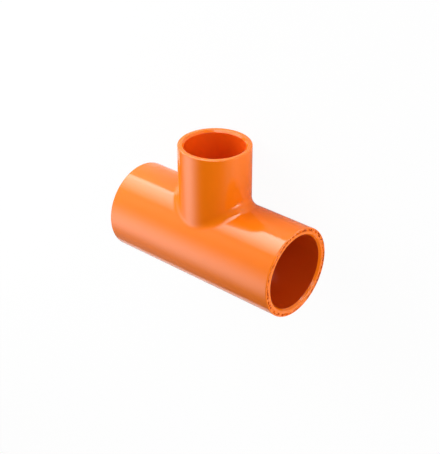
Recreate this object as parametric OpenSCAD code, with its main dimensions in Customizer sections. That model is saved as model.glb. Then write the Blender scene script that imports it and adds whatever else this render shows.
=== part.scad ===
// Reducing tee for CPVC pipe, 1 x 1 x 3/4 in: one moulded piece with three solvent-weld sockets.
// Millimetres, +Z up. The tee lies on its side, as it comes to rest: the barrel of the run and the rim of
// the branch both touch the ground at z = 0. The run's axis is along X, and the branch points to -Y.

/* [Run sockets] */
// Diameter of each run socket at its mouth, where the taper starts
run_mouth_d = 33.66; // [33.5:0.02:35]
// Diameter of the straight inner stretch of each run socket, which grips the 1 in pipe
run_socket_d = 33.27; // [31:0.01:33.4]
// Depth of each run socket, from the end face to the pipe stop
run_socket_depth = 28.6; // [20:0.1:50]
// Distance from the tee's centre to the pipe stop of each run socket
run_takeout = 17.5; // [16:0.1:40]
// Bore of the waterway between the run sockets
run_way_d = 28; // [24:0.5:30]
// Thickness of the wall round each run socket, at its mouth
run_wall = 3.57; // [2.6:0.01:8]

/* [Branch socket] */
// Diameter of the branch socket at its mouth, where the taper starts
branch_mouth_d = 26.87; // [26.7:0.01:29]
// Diameter of the straight inner stretch of the branch socket, which grips the 3/4 in pipe
branch_socket_d = 26.57; // [24:0.01:26.7]
// Depth of the branch socket, from the end face to the pipe stop
branch_socket_depth = 25.4; // [22:0.1:50]
// Distance from the run's axis to the pipe stop of the branch socket
branch_takeout = 20.7; // [18:0.1:40]
// Bore of the waterway into the branch
branch_way_d = 22; // [16:0.5:23]
// Thickness of the wall round the branch socket, at its mouth
branch_wall = 2.77; // [2.2:0.01:4.5]

/* [Edges] */
// Length of the tapered lead-in of each socket
taper_length = 10; // [4:0.5:16]
// How far the bevel at the mouth of each socket opens it out, all round
bevel_width = 0.8; // [0.2:0.05:1.2]
// How deep that bevel runs into the socket
bevel_depth = 1.1; // [0.3:0.1:2.5]
// Rounding of the outer rim of each end face
rim_radius = 0.5; // [0.2:0.05:0.9]
// Radius of the fillet between the branch and the run
fillet_radius = 4.5; // [1.5:0.25:8]

/* [Hidden] */
$fn = 180;
// How far each cut runs out past the face that it opens
overrun = 1;
// How far the fillet's surface dips under the barrels, so that it crosses them and doesn't only touch
fillet_dip = 0.02;
// How deep the fillet is rooted in the barrels
fillet_root = 1;
// Steps round the branch and across the fillet
ring_steps = 120;
arc_steps = 10;

run_r = run_mouth_d / 2 + run_wall;
run_half = run_takeout + run_socket_depth;
branch_r = branch_mouth_d / 2 + branch_wall;
branch_reach = branch_takeout + branch_socket_depth;

// The lean is the angle at which the branch drops below the level until its rim meets the ground
rim_out = branch_r - rim_radius;
rim_up = branch_reach - rim_radius;
lean = asin((run_r - rim_radius) / norm([rim_out, rim_up])) - atan2(rim_out, rim_up);
// How far the rim of the branch reaches out from the run's axis, as the tee lies
branch_front = rim_up * cos(lean) + rim_out * sin(lean) + rim_radius;

// Half of a barrel's section, from the axis out, with rounded outer rims at both ends
module barrel_section(radius, low, high) {
    translate([0, low]) square([radius - rim_radius, high - low]);
    translate([0, low + rim_radius]) square([radius, high - low - 2 * rim_radius]);
    for (level = [low + rim_radius, high - rim_radius])
        translate([radius - rim_radius, level]) circle(rim_radius);
}

// Puts what stands on the Z axis along the X axis
module along_run() {
    rotate([0, 90, 0]) children();
}

// The ball that rolls in the corner between the branch and the run, at the angle a round the branch
function ball_out() = branch_r + fillet_radius - fillet_dip;
function ball_up() = run_r + fillet_radius - fillet_dip;
function ball_centre(a) =
    [ball_out() * cos(a), ball_out() * sin(a), sqrt(pow(ball_up(), 2) - pow(ball_out() * sin(a), 2))];
function towards_branch(a) = [-cos(a), -sin(a), 0];
function towards_run(a) = let (c = ball_centre(a)) -[0, c.y, c.z] / ball_up();

// The ball's surface from the branch (t = 0) to the run (t = 1)
function arc_direction(a, t) =
    let (u = towards_branch(a), v = towards_run(a), sweep = acos(u * v))
    (u * sin((1 - t) * sweep) + v * sin(t * sweep)) / sin(sweep);

// One section of the fillet: its arc, then two points under the surfaces of the run and the branch
function fillet_section(a) = let (c = ball_centre(a)) concat(
    [for (i = [0:arc_steps]) c + fillet_radius * arc_direction(a, i / arc_steps)],
    [c + (fillet_radius + fillet_root) * towards_run(a)],
    [c + (fillet_radius + fillet_root) * towards_branch(a)]
);

// A closed ring of fillet round the foot of the branch
module fillet_ring() {
    count = arc_steps + 3;
    points = [for (k = [0:ring_steps - 1]) each fillet_section(360 * k / ring_steps)];
    corner = function(k, i) (k % ring_steps) * count + i % count;
    faces = [for (k = [0:ring_steps - 1], i = [0:count - 1]) each [
        [corner(k, i), corner(k + 1, i + 1), corner(k + 1, i)],
        [corner(k, i), corner(k, i + 1), corner(k + 1, i + 1)]
    ]];
    polyhedron(points, faces);
}

// The hollow of a socket, with its pipe stop at z = stop: straight stretch, taper, bevelled mouth
module socket_hollow(socket_d, mouth_d, stop, depth) {
    mouth = stop + depth;
    taper_top = mouth - bevel_depth;
    rotate_extrude() polygon([
        [0, stop],
        [socket_d / 2, stop],
        [socket_d / 2, taper_top - taper_length],
        [mouth_d / 2, taper_top],
        [mouth_d / 2 + bevel_width, mouth],
        [mouth_d / 2 + bevel_width, mouth + overrun],
        [0, mouth + overrun]
    ]);
}

// The whole fitting, upright, with the run along X and the branch up +Z
module fitting() {
    difference() {
        union() {
            along_run() rotate_extrude() barrel_section(run_r, -run_half, run_half);
            rotate_extrude() barrel_section(branch_r, 0, branch_reach);
            fillet_ring();
        }
        along_run() cylinder(h = 2 * run_takeout + 2 * overrun, d = run_way_d, center = true);
        cylinder(h = branch_takeout + overrun, d = branch_way_d);
        for (end = [0, 1]) mirror([end, 0, 0])
            along_run() socket_hollow(run_socket_d, run_mouth_d, run_takeout, run_socket_depth);
        socket_hollow(branch_socket_d, branch_mouth_d, branch_takeout, branch_socket_depth);
    }
}

// The moulded body, laid on its side with the middle of its outline over the origin
module tee_body() {
    color("#F5823C")
        translate([0, (branch_front - run_r) / 2, run_r])
        rotate([90 + lean, 0, 0])
        fitting();
}

tee_body();
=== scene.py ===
import math
import random

import bpy
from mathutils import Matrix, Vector


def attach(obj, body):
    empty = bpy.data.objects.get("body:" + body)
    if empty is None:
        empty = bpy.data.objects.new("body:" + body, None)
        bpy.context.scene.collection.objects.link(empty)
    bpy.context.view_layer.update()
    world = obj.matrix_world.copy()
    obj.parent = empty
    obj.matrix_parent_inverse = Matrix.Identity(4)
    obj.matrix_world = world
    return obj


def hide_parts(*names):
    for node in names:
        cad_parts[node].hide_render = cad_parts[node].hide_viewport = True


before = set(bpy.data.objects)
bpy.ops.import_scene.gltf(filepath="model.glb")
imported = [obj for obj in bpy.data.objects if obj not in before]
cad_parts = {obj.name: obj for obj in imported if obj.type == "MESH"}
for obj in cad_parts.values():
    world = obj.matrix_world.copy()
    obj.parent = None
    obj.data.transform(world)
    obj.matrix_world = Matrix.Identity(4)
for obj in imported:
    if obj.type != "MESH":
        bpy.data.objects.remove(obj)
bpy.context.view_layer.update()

bpy.ops.object.select_all(action="DESELECT")


# ---------------------------------------------------------------- The body of the tee
# One hollow injection moulding of orange CPVC: a run barrel with a 1 in socket at each end, and a branch
# barrel with a 3/4 in socket. A fillet that a ball would leave, rolled round the foot of the branch, joins
# the two. It is modelled upright in millimetres, a quarter at a time, and then laid on its side.

run_radius, run_half = 20.4, 46.1
run_mouth_radius, run_socket_radius = 16.83, 16.635
run_stop, run_way_radius = 17.5, 14.0
branch_radius, branch_reach = 16.205, 46.1
branch_mouth_radius, branch_socket_radius = 13.435, 13.285
branch_stop, branch_way_radius = 20.7, 11.0
fillet_radius, rim_radius, way_edge_radius = 4.5, 0.5, 0.5
bevel_width, bevel_depth, taper_length = 0.8, 1.1, 10.0

# The skins are quarters of the tee, one outside and one in the waterways, and they meet the spun mouths a
# little way behind the end faces and the pipe stops. Their columns go round the branch, from above the
# run's end to its side. The first of them end at the run's mouth, and the others at the line under the run
rim_seam, way_seam = 0.7, 0.5
columns, mouth_columns = 132, 78


def eased(t):
    """From 0 to 1, with closer steps at both ends, where the surface starts to bend."""
    return t - 0.8 * math.sin(2 * math.pi * t) / (2 * math.pi)


def skin_point(run, branch, corner, top, end, rows, column, row):
    """A point on a tee-shaped skin. The rows go down the branch, over the rolling ball's arc, and then along
    and round the run."""
    barrel_rows, arc_rows, run_rows = rows
    turn = math.pi / 2 * column / columns
    ball = Vector(((branch + corner) * math.cos(turn), (branch + corner) * math.sin(turn), 0))
    ball.z = math.sqrt((run + corner) ** 2 - ball.y ** 2)
    to_branch = Vector((-math.cos(turn), -math.sin(turn), 0))
    to_run = Vector((0, -ball.y, -ball.z)) / (run + corner)
    if row <= barrel_rows:
        height = top + (ball.z - top) * eased(row / barrel_rows)
        return Vector((branch * math.cos(turn), branch * math.sin(turn), height))
    if row <= barrel_rows + arc_rows:
        sweep, t = to_branch.angle(to_run), (row - barrel_rows) / arc_rows
        way = to_branch * math.sin((1 - t) * sweep) + to_run * math.sin(t * sweep)
        return ball + way * corner / math.sin(sweep)
    # The run's surface is unrolled: x along the run, and the angle round it from the top
    if column <= mouth_columns:
        edge = (end, math.pi * column / mouth_columns)
    else:
        edge = (end * (columns - column) / (columns - mouth_columns), math.pi)
    t = eased((row - barrel_rows - arc_rows) / run_rows)
    x = ball.x + (edge[0] - ball.x) * t
    angle = math.atan2(ball.y, ball.z) * (1 - t) + edge[1] * t
    return Vector((x, run * math.sin(angle), run * math.cos(angle)))


def skin(name, rows, *sizes):
    """A quarter of a skin, from a flat grid whose columns and rows are laid on the tee's surface."""
    bpy.ops.object.select_all(action="DESELECT")
    bpy.ops.mesh.primitive_grid_add(x_subdivisions=columns, y_subdivisions=sum(rows), size=2)
    sheet = bpy.context.object
    sheet.name = name
    for v in sheet.data.vertices:
        column = round((v.co.x + 1) / 2 * columns)
        row = round((v.co.y + 1) / 2 * sum(rows))
        v.co = skin_point(*sizes, rows, column, row)
    return sheet


outer_skin = skin(
    "outer_skin", (12, 20, 34), run_radius, branch_radius, fillet_radius,
    branch_reach - rim_seam, run_half - rim_seam)
inner_skin = skin(
    "inner_skin", (5, 6, 14), run_way_radius, branch_way_radius, way_edge_radius,
    branch_stop - way_seam, run_stop - way_seam)


def rounded(corners, hold=0.06):
    """A profile through (along, out, radius, steps) corners. A point just past each end of an arc holds the
    shine of the faces beside it."""
    points = [Vector(corners[0][:2])]
    for before, corner, after in zip(corners, corners[1:], corners[2:]):
        at, radius, steps = Vector(corner[:2]), corner[2], corner[3]
        if not radius:
            points.append(at)
            continue
        one = (Vector(before[:2]) - at).normalized()
        two = (Vector(after[:2]) - at).normalized()
        half = one.angle(two) / 2
        reach = radius / math.tan(half)
        centre = at + (one + two).normalized() * radius / math.sin(half)
        start, stop = at + one * reach - centre, at + two * reach - centre
        sweep = start.angle(stop)
        points.append(at + one * (reach + hold))
        for i in range(steps + 1):
            t = i / steps
            way = start * math.sin((1 - t) * sweep) + stop * math.sin(t * sweep)
            points.append(centre + way / math.sin(sweep))
        points.append(at + two * (reach + hold))
    points.append(Vector(corners[-1][:2]))
    return points


def mouth(name, barrel, end, mouth_radius, socket_radius, stop, way, marks, axis, turn, steps):
    """The end of a barrel, as a profile spun about the barrel's axis. It runs from the rounded rim over the
    face and the bevel, and down the taper and the socket to the pipe stop."""
    profile = rounded([
        (end - rim_seam, barrel, 0, 0),
        (end, barrel, rim_radius, 5),
        *[(end, barrel - mark, 0, 0) for mark in marks],
        (end, mouth_radius + bevel_width, 0.3, 4),
        (end - bevel_depth, mouth_radius, 0.35, 3),
        (end - bevel_depth - taper_length, socket_radius, 0, 0),
        (stop, socket_radius, 0.4, 4),
        (stop, way, 0.3, 4),
        (stop - way_seam, way, 0, 0),
    ])
    lay = (lambda p: (p.x, 0, p.y)) if axis == "X" else (lambda p: (p.y, 0, p.x))
    mesh = bpy.data.meshes.new(name)
    mesh.from_pydata([lay(p) for p in profile], [(i, i + 1) for i in range(len(profile) - 1)], [])
    ring = bpy.data.objects.new(name, mesh)
    bpy.context.collection.objects.link(ring)
    bpy.ops.object.select_all(action="DESELECT")
    bpy.context.view_layer.objects.active = ring
    ring.select_set(True)
    bpy.ops.object.mode_set(mode="EDIT")
    bpy.ops.mesh.select_all(action="SELECT")
    direction = (-1, 0, 0) if axis == "X" else (0, 0, 1)
    bpy.ops.mesh.spin(steps=steps, angle=turn, center=(0, 0, 0), axis=direction)
    bpy.ops.object.mode_set(mode="OBJECT")
    return ring


run_mouth = mouth(
    "run_mouth", run_radius, run_half, run_mouth_radius, run_socket_radius, run_stop, run_way_radius,
    (0.88, 1.24, 1.6), "X", math.pi, mouth_columns)
branch_mouth = mouth(
    "branch_mouth", branch_radius, branch_reach, branch_mouth_radius, branch_socket_radius, branch_stop,
    branch_way_radius, (), "Z", math.pi / 2, columns)

# The quarter is joined, mirrored to the whole tee, and its seams are merged
bpy.ops.object.select_all(action="DESELECT")
for part in (outer_skin, inner_skin, run_mouth, branch_mouth):
    part.select_set(True)
bpy.context.view_layer.objects.active = outer_skin
bpy.ops.object.join()
tee = bpy.context.object
tee.name = tee.data.name = "moulded_tee"
mirror = tee.modifiers.new("other_quarters", "MIRROR")
mirror.use_axis = (True, True, False)
mirror.merge_threshold = 0.003
bpy.ops.object.modifier_apply(modifier=mirror.name)
bpy.ops.object.mode_set(mode="EDIT")
bpy.ops.mesh.select_all(action="SELECT")
bpy.ops.mesh.remove_doubles(threshold=0.005)
bpy.ops.mesh.normals_make_consistent(inside=False)
bpy.ops.mesh.select_all(action="DESELECT")
bpy.ops.object.mode_set(mode="OBJECT")

# Small uneven pits along the rim of both run faces. The points of three rings on the flat face are moved
# about, and in three rounds some of the quads beside them sink in, with borders of three widths
chance = random.Random(11)
moved_by, pit_share, pit_depth = 0.13, 0.2, 0.22


def on_run_face(place, inmost, outmost):
    """Whether a place is on the flat face at an end of the run, between two distances in from the rim."""
    out = math.hypot(place.y, place.z)
    return abs(abs(place.x) - run_half) < 0.001 and run_radius - inmost < out < run_radius - outmost


for v in tee.data.vertices:
    if on_run_face(v.co, 1.8, 0.8):
        v.co += Vector((0, chance.uniform(-moved_by, moved_by), chance.uniform(-moved_by, moved_by)))
for border in (0.03, 0.06, 0.1):
    ring_faces = [face for face in tee.data.polygons if on_run_face(face.center, 1.55, 0.62)]
    # The spin leaves its faces in no fixed order, so the draws go by the numbers of their corners
    for face in sorted(ring_faces, key=lambda face: sorted(face.vertices)):
        face.select = chance.random() < pit_share
    bpy.ops.object.mode_set(mode="EDIT")
    bpy.ops.mesh.select_mode(type="FACE")
    bpy.ops.mesh.inset(thickness=border, depth=-pit_depth, use_individual=True)
    bpy.ops.mesh.select_all(action="DESELECT")
    bpy.ops.object.mode_set(mode="OBJECT")

bpy.ops.object.shade_smooth_by_angle(angle=math.radians(30))

# Laid on its side: the branch drops until its rim meets the ground beside the run
rim_out, rim_up = branch_radius - rim_radius, branch_reach - rim_radius
lean = math.asin((run_radius - rim_radius) / math.hypot(rim_out, rim_up)) - math.atan2(rim_out, rim_up)
front = rim_up * math.cos(lean) + rim_out * math.sin(lean) + rim_radius
tee.scale = (0.001,) * 3
tee.rotation_euler.x = math.pi / 2 + lean
tee.location = (0, (front - run_radius) / 2000, run_radius / 1000)
bpy.ops.object.transform_apply()


class Wire:
    """A socket in the nodes of a finish. Sums, differences and products of wires add their Math nodes."""

    def __init__(self, tree, socket=None):
        self.tree, self.socket = tree, socket

    def node(self, kind, settings=(), sockets=(), output=0):
        """Adds a node of a kind, with its settings and then the values or wires of its sockets."""
        made = self.tree.nodes.new(kind)
        for name, value in dict(settings).items():
            setattr(made, name, value)
        for name, value in dict(sockets).items():
            if isinstance(value, Wire):
                self.tree.links.new(value.socket, made.inputs[name])
            else:
                made.inputs[name].default_value = value
        return Wire(self.tree, made.outputs[output] if made.outputs else None)

    def sum(self, operation, first, second):
        return self.node("ShaderNodeMath", {"operation": operation}, {0: first, 1: second})

    def __add__(self, other):
        return self.sum("ADD", self, other)

    def __sub__(self, other):
        return self.sum("SUBTRACT", self, other)

    def __rsub__(self, other):
        return self.sum("SUBTRACT", other, self)

    def __mul__(self, other):
        return self.sum("MULTIPLY", self, other)

    def __lt__(self, other):
        return self.sum("LESS_THAN", self, other)

    def __gt__(self, other):
        return self.sum("GREATER_THAN", self, other)

    __radd__, __rmul__ = __add__, __mul__


# The plastic: glossy, slightly mottled orange, with a fine grain in its shine. Inside the sockets it is less
# glossy and painted deeper, as painted shade for the depth of the bores, and patches in the pits are painted
# shade
plastic = bpy.data.materials.new("orange_cpvc")
plastic.use_nodes = True
plastic.node_tree.nodes.clear()
wires = Wire(plastic.node_tree)
place = wires.node("ShaderNodeTexCoord", output="Object")

# Where a point is on the upright tee, in millimetres, and its squared distances from the two axes
upright = wires.node(
    "ShaderNodeMapping", {"vector_type": "TEXTURE"},
    {"Vector": place, "Location": (0, (front - run_radius) / 2000, run_radius / 1000),
     "Rotation": (math.pi / 2 + lean, 0, 0), "Scale": (0.001, 0.001, 0.001)})
length, depth, height = (wires.node("ShaderNodeSeparateXYZ", {}, {"Vector": upright}, axis) for axis in "XYZ")
from_run, from_branch = depth * depth + height * height, length * length + depth * depth

# The masks of the run's bore and of the branch's, and of the painted shade, in patches on what lies sunk in
# the faces
in_run = from_run < (run_mouth_radius + 0.07) ** 2
in_branch = (from_branch < (branch_mouth_radius + 0.065) ** 2) * (height > 5) * (1 - in_run)
from_middle = length * length
under_face = (from_middle < (run_half - 0.04) ** 2) * (from_middle > (run_half - 0.4) ** 2)
sunk = (from_run > (run_radius - 1.8) ** 2) * (from_run < (run_radius - 0.53) ** 2) * under_face
speck = wires.node("ShaderNodeTexNoise", {}, {"Vector": place, "Scale": 900.0, "Detail": 1.0})
pits = sunk * (speck > 0.47)

cloud = wires.node("ShaderNodeTexNoise", {}, {"Vector": place, "Scale": 55.0, "Detail": 3.0})
grain = wires.node("ShaderNodeTexNoise", {}, {"Vector": place, "Scale": 1500.0, "Detail": 2.0})
outer_colour = wires.node(
    "ShaderNodeMix", {"data_type": "RGBA"},
    {"Factor": cloud, "A": (0.91, 0.181, 0.003, 1), "B": (0.95, 0.195, 0.004, 1)}, "Result")
# Painted shade: the branch's bore is given a deeper orange, for the darkness deep inside it
colour_with_branch_bore_shade = wires.node(
    "ShaderNodeMix", {"data_type": "RGBA"},
    {"Factor": in_branch, "A": outer_colour, "B": (0.82, 0.095, 0.001, 1)}, "Result")
# Painted shade: the run's bore is given a deep red-orange, for the darkness deep inside it
colour_with_bore_shades = wires.node(
    "ShaderNodeMix", {"data_type": "RGBA"},
    {"Factor": in_run, "A": colour_with_branch_bore_shade, "B": (0.55, 0.05, 0.0005, 1)}, "Result")
ripple = wires.node(
    "ShaderNodeBump", {}, {"Height": grain * 0.4 + cloud, "Distance": 0.00002, "Strength": 0.15})
roughness = 0.09 + grain * 0.05 + (in_run + in_branch) * 0.2
glossy = wires.node(
    "ShaderNodeBsdfPrincipled", {},
    {"Base Color": colour_with_bore_shades, "Roughness": roughness, "IOR": 1.5, "Normal": ripple})
# Painted shade: patches on the sunk faces of the pits are a dark matt orange, for the shade in the recesses
painted_pit_shade = wires.node("ShaderNodeBsdfDiffuse", {}, {"Color": (0.45, 0.05, 0.002, 1)})
shader = wires.node("ShaderNodeMixShader", {}, {"Fac": pits, 1: glossy, 2: painted_pit_shade})
wires.node("ShaderNodeOutputMaterial", {}, {"Surface": shader})
tee.data.materials.clear()
tee.data.materials.append(plastic)

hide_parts("tee_body")
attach(tee, "root")


# ---------------------------------------------------------------- The floor and the studio
# A white table top, clear panels of light round it that the camera doesn't see, and a camera that looks down
# on the lying tee. None of them belongs to the fitting.

def stand(name, size, location, towards=None):
    """A flat sheet of the studio, facing a point."""
    bpy.ops.object.select_all(action="DESELECT")
    bpy.ops.mesh.primitive_plane_add(size=1, location=location)
    sheet = bpy.context.object
    sheet.name = name
    sheet.scale = (*size, 1)
    if towards is not None:
        sheet.rotation_euler = (Vector(towards) - Vector(location)).to_track_quat("Z", "Y").to_euler()
    return sheet


floor = stand("floor", (6, 6), (0, 0, 0))
table_top = bpy.data.materials.new("white_table")
table_top.use_nodes = True
table_top.node_tree.nodes.clear()
wires = Wire(table_top.node_tree)
seen = wires.node("ShaderNodeLightPath", output="Is Camera Ray")
through = wires.node("ShaderNodeLightPath", output="Is Transmission Ray")
mirrored = wires.node("ShaderNodeLightPath", output="Is Glossy Ray")
matt = wires.node("ShaderNodeBsdfDiffuse", {}, {"Color": (0.9, 0.9, 0.9, 1)})
white = wires.node("ShaderNodeEmission", {}, {"Color": (1, 1, 1, 1), "Strength": 1.0})
whiteness = seen * 0.96 + through * 0.96 + mirrored * 0.1
both = wires.node("ShaderNodeMixShader", {}, {"Fac": whiteness, 1: matt, 2: white})
wires.node("ShaderNodeOutputMaterial", {}, {"Surface": both})
floor.data.materials.append(table_top)

world = bpy.data.worlds.new("studio")
bpy.context.scene.world = world
world.use_nodes = True
world.node_tree.nodes.clear()
wires = Wire(world.node_tree)
seen = wires.node("ShaderNodeLightPath", output="Is Camera Ray")
through = wires.node("ShaderNodeLightPath", output="Is Transmission Ray")
room = wires.node("ShaderNodeBackground", {}, {"Color": (1, 1, 1, 1), "Strength": 0.02})
white = wires.node("ShaderNodeBackground", {}, {"Color": (1, 1, 1, 1), "Strength": 1.0})
both = wires.node("ShaderNodeMixShader", {}, {"Fac": seen + through, 1: room, 2: white})
wires.node("ShaderNodeOutputWorld", {}, {"Surface": both})


def glow(name, width, height, location, towards, brightness, in_shine, strip=False):
    """A clear, one-sided panel of light that the camera doesn't see. It shows in the plastic's shine, or it
    only lights softly. It is a round glow that fades outwards, or a strip that fades from its foot upwards
    and a little to one side."""
    panel = stand(name, (width, height), location, towards)
    panel.visible_camera = panel.visible_shadow = False
    panel.visible_glossy, panel.visible_diffuse = in_shine, not in_shine
    light = bpy.data.materials.new(name)
    light.use_nodes = True
    light.node_tree.nodes.clear()
    wires = Wire(light.node_tree)
    where = wires.node("ShaderNodeTexCoord", output="Object")
    across, up = (wires.node("ShaderNodeSeparateXYZ", {}, {"Vector": where}, axis) for axis in "XY")
    if strip:
        foot = wires.node(
            "ShaderNodeMath", {"operation": "MULTIPLY", "use_clamp": True}, {0: 0.5 - up, 1: 1.5})
        pattern = foot * (across * 0.4 + 0.8)
    else:
        from_centre = across * across + up * up
        pattern = wires.node("ShaderNodeMath", {"operation": "EXPONENT"}, {0: from_centre * -18})
    front_side = 1 - wires.node("ShaderNodeNewGeometry", output="Backfacing")
    lit = wires.node("ShaderNodeEmission", {}, {"Color": (1, 1, 1, 1), "Strength": brightness})
    patch = wires.node("ShaderNodeMixShader", {}, {"Fac": pattern * front_side, 2: lit})
    clear = wires.node("ShaderNodeBsdfTransparent")
    both = wires.node("ShaderNodeAddShader", {}, {0: patch, 1: clear})
    wires.node("ShaderNodeOutputMaterial", {}, {"Surface": both})
    panel.data.materials.append(light)


# Two low strips stand on the table, in front of the branch and off the near end, and one lies on it. Their
# sharp edges give the bright band on the run and the thin glints on the fillet
glow("low_strip", 0.2, 0.1, (0.065, -0.102, 0.05), (0.065, 0, 0.05), 7.3, True, strip=True)
glow("end_strip", 0.009, 0.045, (-0.09, -0.011, 0.0225), (0, -0.011, 0.0225), 16.0, True, strip=True)
glow("floor_strip", 0.074, 0.006, (-0.094, -0.011, 0.0005), (-0.094, -0.011, 1), 18.0, True, strip=True)

# Round glows hang about a point just over the table's middle: name, azimuth from +X and elevation in
# degrees, distance and width in metres, brightness, and whether it shows in the shine
middle = Vector((0, 0, 0.02))
for name, azimuth, elevation, distance, width, brightness, in_shine in (
    ("high_box", 23, 46, 0.6, 1.08, 3.0, True),
    ("high_sheet", -28, 60, 0.6, 0.8, 0.25, True),
    ("front_sheet", -42, 36, 0.6, 0.8, 0.74, True),
    ("far_sheet", 0, 18, 0.6, 0.8, 0.7, True),
    ("far_card", 48, 10, 0.6, 0.6, 0.38, True),
    ("back_card", 152, 6, 0.6, 0.6, 0.45, True),
    ("soft_front", -42, 16, 0.4, 0.8, 6.4, False),
    ("soft_near_end", -160, 8, 0.6, 1.2, 3.5, False),
    ("soft_back", 100, 18, 0.6, 1.2, 2.4, False),
    ("soft_far_end", 0, 28, 0.35, 0.7, 3.1, False),
    ("soft_back_right", 152, 8, 0.6, 1.2, 2.1, False),
    ("soft_camera", -130, 8, 0.6, 1.2, 0.9, False),
    ("soft_branch", -90, 12, 0.6, 1.2, 0.9, False),
):
    turn, rise = math.radians(azimuth), math.radians(elevation)
    away = Vector((math.cos(turn) * math.cos(rise), math.sin(turn) * math.cos(rise), math.sin(rise)))
    glow(name, width, width, away * distance + middle, middle, brightness, in_shine)

# The camera looks down on the tee from its branch side, rolled so that the branch stands up in the picture
camera = bpy.data.objects.new("camera", bpy.data.cameras.new("camera"))
bpy.context.collection.objects.link(camera)
camera.location = (-0.294457, -0.281154, 0.327857)
camera.rotation_mode = "QUATERNION"
camera.rotation_quaternion = (0.07603, 0.3432, 0.28638, -0.8913)
camera.data.lens = 91.53
camera.data.clip_start, camera.data.clip_end = 0.01, 20
bpy.context.scene.camera = camera
bpy.context.scene.view_settings.view_transform = "Standard"
